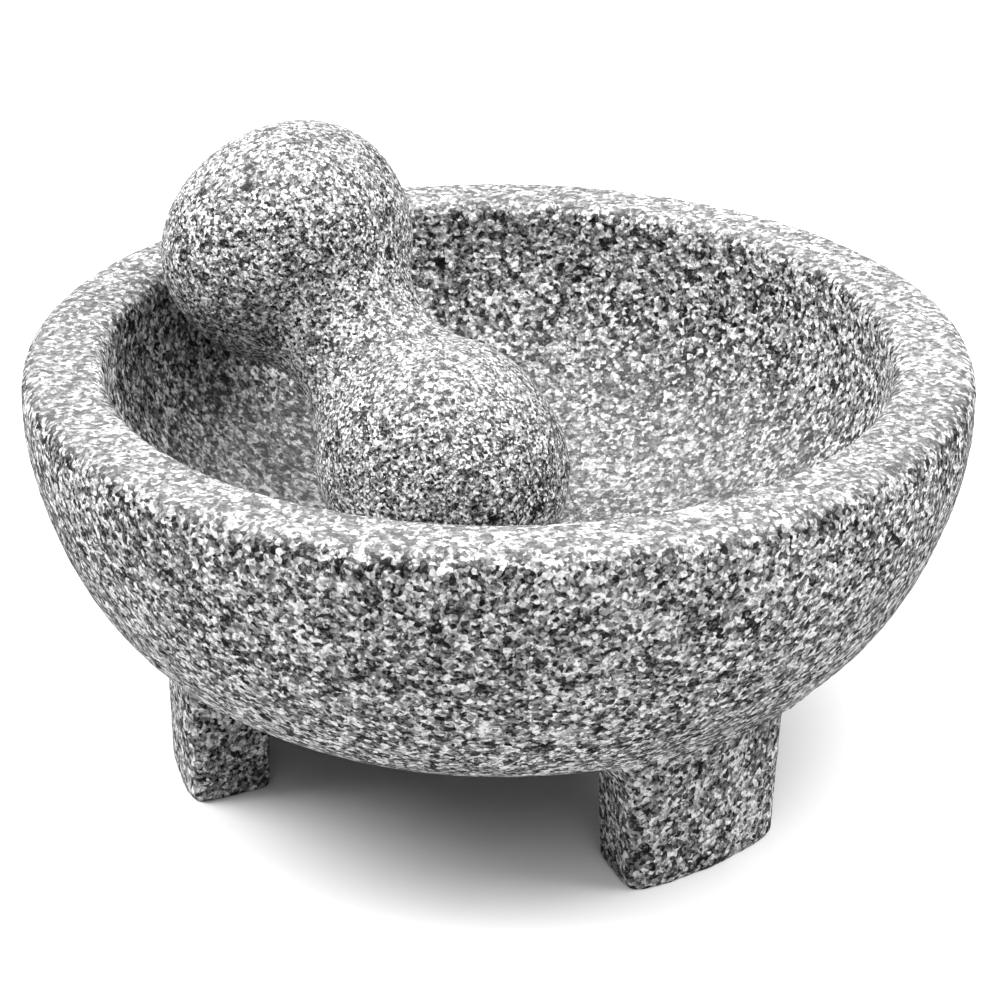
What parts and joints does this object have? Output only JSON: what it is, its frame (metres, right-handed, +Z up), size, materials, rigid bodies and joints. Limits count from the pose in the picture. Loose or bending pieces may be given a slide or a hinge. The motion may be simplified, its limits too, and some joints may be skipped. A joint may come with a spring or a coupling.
{
  "type": "molcajete",
  "caption": "Three-legged carved granite mortar with a broad flat rim, and a loose double-ended stone pestle, the tejolote, leaning in its bowl.",
  "frame": {"origin": "on the bowl's axis, at the level of the ground the feet stand on", "axes": "+Z up along the bowl's axis; -Y is the front, the side between the left foot and the front right foot; +X is the right"},
  "size_m": [0.203, 0.203, 0.1328],
  "materials": {
    "granite_bowl": "matte bush-hammered granite, coarse speckle of white, grey and near-black grains about 1 to 2 mm across, slightly pitted, no polish",
    "granite_tejolote": "matte granite, the same stone with a finer and lighter speckle, grains about 0.7 to 1.2 mm across, rubbed smoother than the bowl"
  },
  "bodies": {
    "bowl_body": {"bowl": "granite_bowl"},
    "tejolote_body": {"tejolote": "granite_tejolote"}
  },
  "joints": [
    {"name": "tejolote_lift", "type": "slide", "parent": "bowl_body", "child": "tejolote_body", "axis": [0, 0, 1], "range_m": [0, 0.12]}
  ]
}
